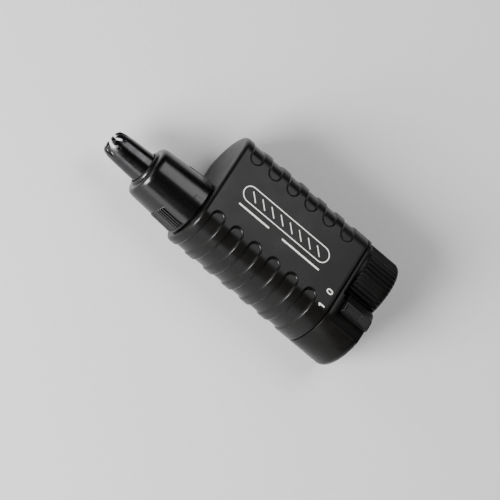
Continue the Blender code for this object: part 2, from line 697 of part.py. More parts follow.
def make_switch_slide():
    """The switch's slide: a block with a raised face, and a skirt that slopes back on its right."""
    floor = BODY_DEPTH / 2 - TRACK_DEPTH + CLEARANCE
    stretch = (SLIDE_SKIRT - SLIDE_LEFT) / (SLIDE_RIGHT - SLIDE_LEFT)
    skirt = [(SLIDE_LEFT + (x - SLIDE_LEFT) * stretch, -floor, z) for x, z in slide_outline()]
    shoulder = [(x, SLIDE_EDGE - SLIDE_FRONT, z) for x, z in slide_outline()]
    face = [(x, -SLIDE_FRONT, z) for x, z in slide_outline(SLIDE_EDGE)]
    solid("switch_slide", [skirt, shoulder, face], "slide_grey")


def make_battery_cover():
    """The ribbed cover that is turned and pulled off to change the battery."""
    at = (DIAL_X, 0, 0)
    rings = []
    steps = 4
    for i in range(steps + 1):
        a = math.pi / 2 * i / steps
        radius = DIAL_RADIUS - DIAL_FOOT * (1 - math.sin(a))
        outline = ribbed_outline(radius, RIB_DEPTH * math.sin(a))
        rings.append((DIAL_BOTTOM + DIAL_FOOT * (1 - math.cos(a)), outline))
    rings.append((RIB_TOP, ribbed_outline(DIAL_RADIUS, RIB_DEPTH)))
    rings.append((RIB_TOP + RIB_DEPTH, ribbed_outline(DIAL_RADIUS - RIB_DEPTH, 0.0)))
    rings.append((DIAL_TOP, ribbed_outline(DIAL_RADIUS - RIB_DEPTH, 0.0)))
    cover = lofted("battery_cover", rings, "casing_black", at)
    join(cover, pin("neck", NECK_RADIUS, DIAL_TOP - 1, NECK_TOP, at=at, steps=ROUND_STEPS))
    inner = NECK_RADIUS - 0.55
    outer = NECK_RADIUS + 1.0
    groove = [(inner, 13.95), (outer, 13.95), (outer, 15.25), (inner, 15.25)]
    cut(
        cover,
        pin("cell_room", COVER_BORE, COVER_FLOOR, NECK_TOP + 1, at=at, steps=ROUND_STEPS),
        turned("seal_groove", groove, "casing_black", at),
    )


def make_cover_seal():
    """The O-ring round the battery cover's neck."""
    make_ring_seal("cover_seal", NECK_RADIUS - 0.25, NECK_RADIUS + 0.4, 14.1, DIAL_X)


def make_cover_contacts():
    """The contact plate in the cover and the conical spring on it."""
    at = (DIAL_X, 0, 0)
    pin("cover_contact", 7.5, COVER_FLOOR + CLEARANCE, COVER_FLOOR + 0.7, "brass", at, SEAL_STEPS)
    count = 14 * SPRING_TURNS
    route = []
    for i in range(count + 1):
        share = i / count
        radius = 5.6 - 3.0 * share
        angle = 2 * math.pi * SPRING_TURNS * share
        route.append((radius * math.cos(angle), radius * math.sin(angle), 2.95 + 1.35 * share))
    wire("battery_spring", route, SPRING_WIRE_RADIUS, "bright_steel", at)


def make_battery():
    """A size AA cell and its positive cap."""
    at = (DIAL_X, 0, 0)
    edge = CELL_RADIUS - 0.5
    profile = [(0.0, CELL_BOTTOM), (edge, CELL_BOTTOM), (CELL_RADIUS, CELL_BOTTOM + 0.5),
               (CELL_RADIUS, CELL_SHOULDER - 0.5), (edge, CELL_SHOULDER), (0.0, CELL_SHOULDER)]
    turned("battery_cell", profile, "cell_wrap", at)
    pin("battery_terminal", 2.75, CELL_SHOULDER + 0.2, CELL_TOP, "bright_steel", at)


def make_contacts():
    """The fixed contacts: one over the battery, and the leaf that the switch closes."""
    bottom = CELL_TOP + CLEARANCE
    block("positive_contact", (-1.3, -1.6, bottom), (11.6, 1.6, bottom + LEAF_THICKNESS), "brass")
    block("switch_leaf", (-1.35, -1.5, 18.0), (-1.35 + LEAF_THICKNESS, 1.5, 34.0), "brass")


def make_leads():
    """The two insulated leads down to the motor's terminals."""
    tail = [(LEAD_X - 2.5, 18.7), (-6.0, 16.7), (NOZZLE_X, 17.3)]
    back = [(-0.9, 0.3, 56.75), (-1.2, 3.5, 55.4), (LEAD_X, LEAD_Y, 50.0), (LEAD_X, LEAD_Y, 36.0),
            (LEAD_X, LEAD_Y, 22.5)]
    back += [(x, BRUSH_ARM_Y + 0.3 * i, z) for i, (x, z) in zip((4, 2, 0), tail)]
    wire("lead_positive", smooth_route(back), LEAD_RADIUS, "lead_red")
    front = [(-1.15, -2.3, 32.0), (-0.6, -5.4, 31.0), (LEAD_X, -LEAD_Y, 27.5), (LEAD_X, -LEAD_Y, 22.5)]
    front += [(x, -BRUSH_ARM_Y - 0.3 * i, z) for i, (x, z) in zip((4, 2, 0), tail)]
    wire("lead_negative", smooth_route(front), LEAD_RADIUS, "lead_black")


def build():
    clear_scene()
    make_datum()
    make_main_casing()
    make_casing_seal()
    make_bottom_casing()
    make_inner_chassis()
    make_motor_can()
    make_motor_end_cap()
    for side, place in ((-1, "front"), (1, "back")):
        make_brush(side, place)
        make_magnet(side, place)
        make_motor_screw(side, place)
    make_rotor()
    make_drive()
    make_cutter()
    make_head_cone()
    make_head_seal()
    make_outer_blade()
    make_blade_retainer()
    make_switch_slide()
    make_battery_cover()
    make_cover_seal()
    make_cover_contacts()
    make_battery()
    make_contacts()
    make_leads()


build()
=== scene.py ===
"""Studio scene of the nose hair trimmer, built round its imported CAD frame.

Shapes are drawn in millimetres as (x, h, f): x to the right, h up the trimmer
from the foot of the lower casing, f out of the front from the body's middle.
"""

import json
import math

import bmesh
import bpy
import numpy as np
from mathutils import Matrix, Vector

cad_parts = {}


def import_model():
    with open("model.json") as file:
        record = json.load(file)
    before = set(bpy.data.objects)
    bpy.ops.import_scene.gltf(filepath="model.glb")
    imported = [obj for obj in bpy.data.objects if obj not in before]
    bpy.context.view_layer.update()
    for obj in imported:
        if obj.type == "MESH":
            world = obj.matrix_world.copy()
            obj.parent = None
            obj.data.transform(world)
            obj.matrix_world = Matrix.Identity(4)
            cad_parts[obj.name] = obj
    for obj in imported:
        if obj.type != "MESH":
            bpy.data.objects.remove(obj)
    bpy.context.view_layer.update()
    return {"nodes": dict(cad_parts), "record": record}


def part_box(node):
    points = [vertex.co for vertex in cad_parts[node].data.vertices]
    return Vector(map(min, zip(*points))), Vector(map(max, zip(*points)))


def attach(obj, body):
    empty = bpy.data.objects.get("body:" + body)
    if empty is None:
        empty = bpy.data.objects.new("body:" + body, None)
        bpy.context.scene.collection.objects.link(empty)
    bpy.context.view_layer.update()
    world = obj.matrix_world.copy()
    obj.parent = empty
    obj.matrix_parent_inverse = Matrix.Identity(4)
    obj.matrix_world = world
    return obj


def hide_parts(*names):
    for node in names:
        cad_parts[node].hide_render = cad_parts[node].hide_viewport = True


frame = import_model()

MM = 0.001
BODY_LOW, BODY_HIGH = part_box("main_casing")
FOOT_LOW, FOOT_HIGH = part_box("bottom_casing")
CONE_LOW, CONE_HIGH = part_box("head_cone")
SEAL_LOW, SEAL_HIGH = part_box("cover_seal")
SLIDE_LOW, SLIDE_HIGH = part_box("switch_slide")
BASE_Y = FOOT_LOW.y
MID_Z = (BODY_LOW.z + BODY_HIGH.z) / 2
NOZZLE_X = (CONE_LOW.x + CONE_HIGH.x) / 2 / MM
DIAL_X = (SEAL_LOW.x + SEAL_HIGH.x) / 2 / MM
BODY_WIDTH = (BODY_HIGH.x - BODY_LOW.x) / MM
BODY_DEPTH = (BODY_HIGH.z - BODY_LOW.z) / MM

FLAT_WIDTH = 24.4
BODY_TOP = 68.0
PARTING_LOW = 14.62
PARTING_HIGH = 14.95
WALL = 2.0

GROOVE_CENTRES = [23.1 + 7.86 * i for i in range(6)]
GROOVE_HALF = 2.7
GROOVE_FLOOR_HALF = 1.95
GROOVE_DEPTH = 0.55
GROOVE_END = 12.9
PRINT_LIFT = 0.03


# ---------------------------------------------------------------- mesh tools


def world(points):
    """Millimetre (x, h, f) points as row-frame points in metres."""
    pts = np.asarray(points, float)
    return np.stack([pts[:, 0] * MM, BASE_Y + pts[:, 1] * MM, MID_Z + pts[:, 2] * MM], axis=1)


def mesh_object(name, verts, faces, sharp=35.0):
    """A linked object with its doubles merged and its faces turned outward."""
    mesh = bpy.data.meshes.new(name)
    mesh.from_pydata([tuple(v) for v in verts], [], faces)
    mesh.validate()
    bm = bmesh.new()
    bm.from_mesh(mesh)
    bmesh.ops.remove_doubles(bm, verts=bm.verts, dist=1e-7)
    bmesh.ops.recalc_face_normals(bm, faces=bm.faces)
    bm.to_mesh(mesh)
    bm.free()
    smooth(mesh, sharp)
    obj = bpy.data.objects.new(name, mesh)
    bpy.context.scene.collection.objects.link(obj)
    return obj


def smooth(mesh, sharp=35.0):
    mesh.shade_smooth()
    mesh.set_sharp_from_angle(angle=math.radians(sharp))


def ring_faces(rows, cols, joined=False):
    """Quads between rows of closed rings; joined links the last ring back to the first."""
    faces = []
    for r in range(rows if joined else rows - 1):
        low = r * cols
        high = (r + 1) % rows * cols
        for c in range(cols):
            d = (c + 1) % cols
            faces.append((low + c, low + d, high + d, high + c))
    return faces


def skin(name, rings, sharp=35.0, joined=False):
    """A closed solid through rings of (x, h, f) points, capped at both ends unless joined."""
    cols = len(rings[0])
    verts = world(np.concatenate([np.asarray(r, float) for r in rings]))
    faces = ring_faces(len(rings), cols, joined)
    if not joined:
        faces.append(tuple(range(cols)))
        faces.append(tuple(range((len(rings) - 1) * cols, len(rings) * cols)))
    return mesh_object(name, verts, faces, sharp)


def circle(radius, height, centre_x, count):
    """A ring of points about an axis along the trimmer; the radius may vary with the angle."""
    angle = np.arange(count) * 2 * math.pi / count
    r = radius(angle) if callable(radius) else np.full(count, radius)
    return np.stack([centre_x + r * np.sin(angle), np.full(count, height), r * np.cos(angle)], axis=1)


def lathe(name, profile, centre_x, count=128, joined=True):
    """A turned solid from a (radius, height) profile."""
    return skin(name, [circle(r, h, centre_x, count) for r, h in profile], joined=joined)


def rounded(profile, joined=True, steps=4):
    """A (radius, height, fillet) profile with each corner rounded by its fillet."""
    points = []
    count = len(profile)
    for i, (r, h, fillet) in enumerate(profile):
        here = Vector((r, h))
        ends_here = not joined and i in (0, count - 1)
        if fillet <= 0 or ends_here:
            points.append((r, h))
            continue
        before = Vector(profile[i - 1][:2]) - here
        after = Vector(profile[(i + 1) % count][:2]) - here
        size = min(fillet, before.length * 0.45, after.length * 0.45)
        start = here + before.normalized() * size
        end = here + after.normalized() * size
        for k in range(steps + 1):
            t = k / steps
            p = (1 - t) ** 2 * start + 2 * t * (1 - t) * here + t ** 2 * end
            points.append((p.x, p.y))
    return points


def apply_modifiers(obj):
    bpy.context.view_layer.update()
    graph = bpy.context.evaluated_depsgraph_get()
    mesh = bpy.data.meshes.new_from_object(obj.evaluated_get(graph), depsgraph=graph)
    obj.modifiers.clear()
    obj.data = mesh


def carve(obj, *tools, operation="DIFFERENCE"):
    """Cuts each tool from a solid, or joins it on, and removes the tool."""
    for tool in tools:
        modifier = obj.modifiers.new("carve", "BOOLEAN")
        modifier.operation = operation
        modifier.solver = "EXACT"
        modifier.object = tool
        apply_modifiers(obj)
        bpy.data.objects.remove(tool, do_unlink=True)
    smooth(obj.data)


def soften(obj, width, segments=2, angle=40.0):
    """Rounds the sharp edges so that they catch the light."""
    modifier = obj.modifiers.new("soften", "BEVEL")
    modifier.width = width * MM
    modifier.segments = segments
    modifier.limit_method = "ANGLE"
    modifier.angle_limit = math.radians(angle)
    modifier.use_clamp_overlap = True
    apply_modifiers(obj)
    smooth(obj.data, 40.0)


# ---------------------------------------------------------------- body section

SIDE_A = (BODY_WIDTH - FLAT_WIDTH) / 2
SIDE_B = BODY_DEPTH / 2 - PRINT_LIFT
ARC_T = np.linspace(0.0, math.pi, 721)
ARC_X = FLAT_WIDTH / 2 + SIDE_A * np.sin(ARC_T)
ARC_F = SIDE_B * np.cos(ARC_T)
ARC_S = np.concatenate([[0.0], np.cumsum(np.hypot(np.diff(ARC_X), np.diff(ARC_F)))])
HALF_ROUND = FLAT_WIDTH + ARC_S[-1]


def side_points(u, inset):
    """Points inset from the right half of the section, u millimetres round from the front's middle."""
    s = np.clip(u - FLAT_WIDTH / 2, 0.0, ARC_S[-1])
    t = np.interp(s, ARC_S, ARC_T)
    x = np.where(u < FLAT_WIDTH / 2, u, FLAT_WIDTH / 2 + SIDE_A * np.sin(t))
    x = np.where(u > HALF_ROUND - FLAT_WIDTH / 2, HALF_ROUND - u, x)
    f = SIDE_B * np.cos(t)
    normal_x = np.sin(t) / SIDE_A
    normal_f = np.cos(t) / SIDE_B
    length = np.hypot(normal_x, normal_f)
    return x - inset * normal_x / length, f - inset * normal_f / length


def section(u, height, inset):
    """One closed ring of the body at a height; inset is a number or one value for each u."""
    x, f = side_points(u, inset)
    h = np.full(len(u), height)
    right = np.stack([x, h, f], axis=1)
    left = np.stack([-x, h, f], axis=1)[1:-1][::-1]
    return np.concatenate([right, left])


def front_at(x):
    """How far out the body's surface is at x on the front."""
    over = max(0.0, abs(x) - FLAT_WIDTH / 2) / SIDE_A
    return SIDE_B * math.sqrt(max(0.0, 1 - over * over))


def groove_inset(u, height):
    """Depth of the finger grooves, which run round each side and end in half circles on the faces."""
    along = np.clip(GROOVE_END - u, 0, None) + np.clip(u - (HALF_ROUND - GROOVE_END), 0, None)
    across = min(abs(height - centre) for centre in GROOVE_CENTRES)
    share = np.clip((GROOVE_HALF - np.hypot(along, across)) / (GROOVE_HALF - GROOVE_FLOOR_HALF), 0, 1)
    return GROOVE_DEPTH * share ** 1.8


def spaced(start, end, step):
    """Even places from start up to, but not including, the end."""
    count = max(1, round((end - start) / step))
    return np.linspace(start, end, count + 1)[:-1]


def body_stations(fine):
    """Where the section is sampled round its right half, finer where the grooves end."""
    near = GROOVE_END - GROOVE_HALF - 0.5
    far = GROOVE_END + 2.0
    half = np.concatenate([
        spaced(0.0, near, 1.2), spaced(near, far, 0.16 if fine else 1.2), spaced(far, HALF_ROUND / 2, 0.8),
    ])
    return np.concatenate([half, [HALF_ROUND / 2], (HALF_ROUND - half)[::-1]])


def edge_steps(radius, count=6):
    """(height, inset) steps of a quarter round of that radius, from the edge's end to its side."""
    turns = [math.pi / 2 * i / count for i in range(count + 1)]
    return [(radius * (1 - math.cos(a)), radius * (1 - math.sin(a))) for a in turns]


# ---------------------------------------------------------------- materials


class Look:
    """A procedural material, with short calls for the nodes it is made of."""

    def __init__(self, name, **sockets):
        self.mat = bpy.data.materials.new(name)
        self.mat.use_nodes = True
        self.tree = self.mat.node_tree
        self.shader = self.tree.nodes["Principled BSDF"]
        for key, value in sockets.items():
            self.shader.inputs[key.replace("_", " ").title().replace("Ior", "IOR")].default_value = value
        self.coords = self.tree.nodes.new("ShaderNodeTexCoord").outputs["Object"]

    def link(self, source, target):
        self.tree.links.new(source, target)

    def stretched(self, scale):
        node = self.tree.nodes.new("ShaderNodeMapping")
        node.inputs["Scale"].default_value = scale
        self.link(self.coords, node.inputs["Vector"])
        return node.outputs["Vector"]

    def noise(self, scale, detail=3.0, rough=0.5, vector=None):
        node = self.tree.nodes.new("ShaderNodeTexNoise")
        node.inputs["Scale"].default_value = scale
        node.inputs["Detail"].default_value = detail
        node.inputs["Roughness"].default_value = rough
        self.link(vector or self.coords, node.inputs["Vector"])
        return node.outputs["Fac"]

    def spread(self, value, low, high, to_low, to_high):
        node = self.tree.nodes.new("ShaderNodeMapRange")
        for key, number in zip(("From Min", "From Max", "To Min", "To Max"), (low, high, to_low, to_high)):
            node.inputs[key].default_value = number
        self.link(value, node.inputs["Value"])
        return node.outputs["Result"]

    def maths(self, kind, a, b):
        node = self.tree.nodes.new("ShaderNodeMath")
        node.operation = kind
        for socket, value in zip(node.inputs, (a, b)):
            if isinstance(value, (int, float)):
                socket.default_value = value
            else:
                self.link(value, socket)
        return node.outputs["Value"]

    def edges(self, low, high):
        """One along sharp outward edges, nothing elsewhere."""
        node = self.tree.nodes.new("ShaderNodeNewGeometry")
        return self.spread(node.outputs["Pointiness"], low, high, 0.0, 1.0)

    def blend(self, factor, first, second):
        node = self.tree.nodes.new("ShaderNodeMix")
        node.data_type = "RGBA"
        self.link(factor, node.inputs["Factor"])
        for key, value in (("A", first), ("B", second)):
            socket = [s for s in node.inputs if s.name == key and s.type == "RGBA"][0]
            if isinstance(value, tuple):
                socket.default_value = (*value, 1.0)
            else:
                self.link(value, socket)
        return [s for s in node.outputs if s.type == "RGBA"][0]

    def colour(self, source):
        self.link(source, self.shader.inputs["Base Color"])

    def roughness(self, source):
        self.link(source, self.shader.inputs["Roughness"])

    def bump(self, *layers):
        """Bump from (height, distance in millimetres, strength) layers, one over the other."""
        below = None
        for height, distance, strength in layers:
            node = self.tree.nodes.new("ShaderNodeBump")
            node.inputs["Distance"].default_value = distance * MM
            node.inputs["Strength"].default_value = strength
            self.link(height, node.inputs["Height"])
            if below is not None:
                self.link(below, node.inputs["Normal"])
            below = node.outputs["Normal"]
        self.link(below, self.shader.inputs["Normal"])


def moulded(name, dark, light, rough, grain, grain_depth, wear=0.25, specular=0.5):
    """Moulded plastic: fine grain, uneven sheen, faint flow marks, and edges rubbed paler."""
    look = Look(name, specular_ior_level=specular)
    fine = look.noise(1000.0 / grain, 4.0, 0.6)
    cloud = look.noise(140.0, 4.0, 0.6)
    broad = look.noise(35.0, 2.0)
    tone = look.blend(look.spread(cloud, 0.3, 0.7, 0.0, 1.0), dark, light)
    bright = tuple(min(1.0, c * 1.7) for c in light)
    speck = look.blend(look.spread(fine, 0.35, 0.75, 0.0, 0.55), tone, bright)
    rubbed = look.maths("MULTIPLY", look.edges(0.515, 0.60), look.spread(cloud, 0.35, 0.7, 0.2, wear))
    look.colour(look.blend(rubbed, speck, tuple(min(1.0, c * 3.0 + 0.004) for c in light)))
    sheen = look.maths("ADD", look.spread(cloud, 0.3, 0.7, rough - 0.05, rough + 0.05),
                       look.spread(broad, 0.3, 0.7, -0.03, 0.03))
    look.roughness(sheen)
    look.bump((fine, grain_depth, 0.35), (broad, 0.05, 0.15))
    return look.mat


def polished(name, dark, light, rough=0.22):
    """Gloss moulding: near-mirror with a slight orange peel, dust and hairline scuffs."""
    look = Look(name, specular_ior_level=0.44)
    peel = look.noise(420.0, 2.0)
    dust = look.noise(2600.0, 3.0, 0.7)
    scuff = look.noise(1.0, 5.0, 0.7, look.stretched((900.0, 60.0, 900.0)))
    look.colour(look.blend(look.spread(dust, 0.55, 0.8, 0.0, 0.35), dark, light))
    look.roughness(look.maths("ADD", look.spread(scuff, 0.4, 0.75, rough - 0.02, rough + 0.06),
                              look.spread(dust, 0.5, 0.8, 0.0, 0.04)))
    look.bump((peel, 0.02, 0.12), (scuff, 0.004, 0.15))
    return look.mat


def turned_metal(name, dark, light, rough, pitch=0.09, depth=0.004):
    """Metal with fine lathe or drawing marks, uneven polish and a few dull stains."""
    look = Look(name, metallic=1.0)
    marks = look.noise(1.0, 3.0, 0.6, look.stretched((40.0, 1000.0 / pitch, 40.0)))
    stain = look.noise(260.0, 4.0, 0.6)
    look.colour(look.blend(look.spread(stain, 0.35, 0.7, 0.0, 1.0), dark, light))
    look.roughness(look.maths("ADD", look.spread(marks, 0.3, 0.7, rough - 0.06, rough + 0.08),
                              look.spread(stain, 0.4, 0.7, 0.05, -0.02)))
    look.bump((marks, depth, 0.5))
    return look.mat


def rubber(name, tone):
    look = Look(name, specular_ior_level=0.3)
    fine = look.noise(9000.0, 3.0, 0.6)
    bloom = look.noise(600.0, 4.0, 0.6)
    pale = tuple(c * 2.2 + 0.006 for c in tone)
    look.colour(look.blend(look.spread(bloom, 0.35, 0.75, 0.0, 0.6), tone, pale))
    look.roughness(look.spread(fine, 0.3, 0.7, 0.68, 0.85))
    look.bump((fine, 0.01, 0.4))
    return look.mat


def printed(name):
    """White pad print, with the plastic just showing through thin spots."""
    look = Look(name, specular_ior_level=0.4)
    grain = look.noise(7000.0, 3.0, 0.7)
    patch = look.noise(900.0, 3.0)
    worn = look.spread(grain, 0.55, 0.85, 0.0, 0.5)
    look.colour(look.blend(worn, (0.86, 0.86, 0.84), (0.55, 0.55, 0.54)))
    look.roughness(look.spread(patch, 0.3, 0.7, 0.42, 0.58))
    look.bump((grain, 0.006, 0.4))
    return look.mat


def wrapped_cell(name, low_y, high_y):
    """The cell's shrink sleeve: plain slate with a pale ring near its top."""
    look = Look(name, coat_weight=0.4, coat_roughness=0.12)
    split = look.tree.nodes.new("ShaderNodeSeparateXYZ")
    look.link(look.coords, split.inputs["Vector"])
    share = look.spread(split.outputs["Y"], low_y, high_y, 0.0, 1.0)
    above = look.maths("GREATER_THAN", share, 0.84)
    ring = look.maths("MULTIPLY", above, look.maths("LESS_THAN", share, 0.88))
    cloud = look.noise(300.0, 3.0)
    plain = look.blend(look.spread(cloud, 0.3, 0.7, 0.0, 1.0), (0.035, 0.060, 0.090), (0.050, 0.080, 0.115))
    look.colour(look.blend(ring, plain, (0.50, 0.52, 0.54)))
    look.roughness(look.spread(cloud, 0.3, 0.7, 0.28, 0.42))
    look.bump((look.noise(1500.0, 2.0), 0.01, 0.2))
    return look.mat


def make_looks():
    """Every look by its name, each from a recipe and that recipe's numbers."""
    cell_low, cell_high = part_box("battery_cell")
    recipes = {
        "casing_black": (moulded, (0.0024, 0.0022, 0.0020), (0.0042, 0.0039, 0.0037),
                         0.30, 0.16, 0.012, 0.25, 0.22),
        # lower_black is the casing plastic with a darker colour and weaker specular: painted shade, so the
        # lower casing reads darker where the light falls off towards the foot
        "lower_black": (moulded, (0.0022, 0.0020, 0.0018), (0.0038, 0.0035, 0.0033),
                        0.32, 0.16, 0.012, 0.25, 0.14),
        "dial_black": (moulded, (0.0016, 0.0014, 0.0013), (0.0030, 0.0027, 0.0025),
                       0.38, 0.20, 0.010, 0.25, 0.13),
        "slide_grey": (moulded, (0.0032, 0.0031, 0.0030), (0.0054, 0.0052, 0.0050),
                       0.36, 0.20, 0.012, 0.4, 0.24),
        "gloss_black": (polished, (0.0012, 0.0012, 0.0012), (0.006, 0.006, 0.006)),
        "blade_steel": (turned_metal, (0.040, 0.040, 0.041), (0.058, 0.058, 0.060), 0.18),
        "bright_steel": (turned_metal, (0.55, 0.55, 0.57), (0.70, 0.70, 0.72), 0.24, 0.2),
        "chassis_grey": (moulded, (0.28, 0.29, 0.30), (0.38, 0.39, 0.40), 0.50, 0.25, 0.010, 0.1),
        "white_nylon": (moulded, (0.70, 0.69, 0.64), (0.82, 0.81, 0.76), 0.42, 0.30, 0.008, 0.1),
        "magnet_grey": (moulded, (0.045, 0.045, 0.050), (0.075, 0.075, 0.080), 0.62, 0.10, 0.020, 0.4),
        "copper": (turned_metal, (0.55, 0.20, 0.09), (0.78, 0.33, 0.17), 0.32, 0.35, 0.01),
        "brass": (turned_metal, (0.66, 0.47, 0.18), (0.82, 0.62, 0.28), 0.30, 0.25),
        "seal_rubber": (rubber, (0.012, 0.012, 0.012)),
        "lead_red": (moulded, (0.42, 0.025, 0.018), (0.55, 0.04, 0.03), 0.40, 0.4, 0.004, 0.05),
        "lead_black": (moulded, (0.012, 0.012, 0.012), (0.02, 0.02, 0.02), 0.40, 0.4, 0.004, 0.05),
        "cell_wrap": (wrapped_cell, cell_low.y, cell_high.y),
        "print_white": (printed,),
    }
    return {name: recipe(name, *numbers) for name, (recipe, *numbers) in recipes.items()}


LOOKS = make_looks()


def finish_piece(obj, look, body, replaces=()):
    """Gives a piece its look, the body it rides on and the nodes it stands for."""
    obj.data.materials.clear()
    obj.data.materials.append(LOOKS[look])
    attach(obj, body)
    if replaces:
        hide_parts(*replaces)
    return obj


# ---------------------------------------------------------------- the casings

REBATE = 1.1
REBATE_TOP = 16.45
TOP_RADIUS = 1.4
FOOT_RADIUS = 2.7
FLANGE_LOW = 13.6
TONGUE_TOP = 17.4
TONGUE_OUTER = WALL + 0.3
TONGUE_INNER = WALL + 1.5
DIAL_ROOM = 13.25
NECK_BORE = 9.9
TRACK_LEFT = -14.9
TRACK_RIGHT = -4.6
TRACK_FLOOR = BODY_DEPTH / 2 - 2.3
TRACK_TOP = 12.8
LOBE_WALL = 1.6
LOBE_FLOOR = 2.4
FAR = 25.0


def groove_heights():
    """Heights of the upper casing's rings, finer across each groove."""
    rows = list(spaced(PARTING_HIGH + 0.3, GROOVE_CENTRES[0] - GROOVE_HALF - 0.2, 1.0))
    for index, centre in enumerate(GROOVE_CENTRES):
        rows += list(spaced(centre - GROOVE_HALF - 0.2, centre + GROOVE_HALF + 0.2, 0.14))
        if index + 1 < len(GROOVE_CENTRES):
            above = GROOVE_CENTRES[index + 1] - GROOVE_HALF - 0.2
            rows += list(spaced(centre + GROOVE_HALF + 0.2, above, 0.5))
    return rows + list(spaced(GROOVE_CENTRES[-1] + GROOVE_HALF + 0.2, BODY_TOP - TOP_RADIUS, 0.4))


def make_upper_casing():
    """The grooved upper casing, with the spigot that the nozzle fits over."""
    u = body_stations(fine=True)
    rings = [section(u, BODY_TOP - WALL, WALL), section(u, REBATE_TOP, WALL), section(u, REBATE_TOP, REBATE),
             section(u, PARTING_HIGH, REBATE)]
    for rise, inset in edge_steps(0.3, 4):
        rings.append(section(u, PARTING_HIGH + rise, inset))
    for height in groove_heights():
        rings.append(section(u, height, groove_inset(u, height)))
    for rise, inset in reversed(edge_steps(TOP_RADIUS, 8)):
        rings.append(section(u, BODY_TOP - rise, inset))
    rings += [section(u, BODY_TOP, 2.6), section(u, BODY_TOP, 5.0)]
    casing = skin("upper_casing", rings)
    spigot = lathe("spigot", rounded([
        (6.0, 67.2, 0), (8.2, 67.2, 0), (8.2, 69.6, 0.1), (7.95, 69.9, 0.1), (7.95, 70.6, 0.1),
        (8.2, 70.9, 0.1), (8.2, 74.3, 0.3), (7.7, 75.0, 0.2), (6.3, 75.0, 0.2), (6.0, 74.6, 0.1),
    ]), NOZZLE_X, 96)
    finish_piece(casing, "casing_black", "trimmer_body", replaces=("main_casing",))
    finish_piece(spigot, "casing_black", "trimmer_body")


def outline(u, inset):
    """The body's outline as (x, f) points, inside its surface by the inset."""
    return section(u, 0.0, inset)[:, [0, 2]]


def slab(name, points, bottom, top):
    """A prism between two heights, with an outline of (x, f) points."""
    return skin(name, [[(x, h, f) for x, f in points] for h in (bottom, top)])


def box_tool(name, low, high):
    corners = [(low[0], low[2]), (high[0], low[2]), (high[0], high[2]), (low[0], high[2])]
    return slab(name, corners, low[1], high[1])


def disc_tool(name, radius, centre_x, bottom, top, count=128):
    return lathe(name, [(radius, bottom), (radius, top)], centre_x, count, joined=False)


def lobe_hollow(u):
    """The hollow of the lobe: a wall behind the switch track, clear of the dial and under the tongue."""
    ledge = PARTING_LOW - LOBE_WALL
    tool = slab("lobe_hollow", outline(u, WALL), LOBE_FLOOR, ledge)
    mouth = slab("lobe_mouth", outline(u, TONGUE_INNER), ledge - 0.5, PARTING_LOW + 1.0)
    carve(tool, mouth, operation="UNION")
    carve(
        tool,
        box_tool("track_limit", (TRACK_LEFT - LOBE_WALL, -1.0, TRACK_FLOOR - LOBE_WALL), (FAR, FAR, FAR)),
        disc_tool("dial_limit", DIAL_ROOM + LOBE_WALL, DIAL_X, -1.0, FAR),
        box_tool("side_limit", (TRACK_RIGHT - LOBE_WALL, -1.0, -FAR), (FAR, FAR, FAR)),
    )
    return tool


def make_lower_casing():
    """The lower casing: a lobe beside the battery cover, and a flange with a tongue over both."""
    u = body_stations(fine=False)
    u = np.unique(np.concatenate([u, spaced(0, HALF_ROUND, 0.7)]))
    rings = [section(u, 0.0, 5.0), section(u, 0.0, 3.6)]
    for rise, inset in edge_steps(FOOT_RADIUS, 12):
        rings.append(section(u, rise, inset))
    rings.append(section(u, 8.0, 0.0))
    for rise, inset in reversed(edge_steps(0.25, 3)):
        rings.append(section(u, PARTING_LOW - rise, inset))
    casing = skin("lower_casing", rings)
    carve(casing, slab("tongue", outline(u, TONGUE_OUTER), PARTING_LOW - 0.6, TONGUE_TOP), operation="UNION")
    carve(
        casing,
        slab("tongue_bore", outline(u, TONGUE_INNER), PARTING_LOW, FAR),
        box_tool("dial_side", (TRACK_RIGHT, -FAR, -FAR), (FAR, FLANGE_LOW, FAR)),
        disc_tool("dial_room", DIAL_ROOM, DIAL_X, -FAR, FLANGE_LOW),
        box_tool("track", (TRACK_LEFT, -FAR, TRACK_FLOOR), (3.0, TRACK_TOP, FAR)),
        disc_tool("neck_bore", NECK_BORE, DIAL_X, 5.0, FAR, 96),
        lobe_hollow(u),
    )
    soften(casing, 0.22, 3, 32.0)
    # lower_black: the casing plastic darkened as painted shade towards the foot
    finish_piece(casing, "lower_black", "trimmer_body", replaces=("bottom_casing",))


# ---------------------------------------------------------------- battery cover

RIBS = 48
RIB_SAMPLES = 12
RIB_DEPTH = 0.42
DIAL_RADIUS = 12.9
DIAL_FOOT = -0.3
DIAL_FOOT_RADIUS = 2.1


def ribbed(radius, depth):
    """A radius with V ribs: rounded crests and sharper valleys."""
    def at(angle):
        phase = np.abs((angle * RIBS / (2 * math.pi)) % 1.0 - 0.5) * 2
        return radius - depth * phase ** 1.6
    return at


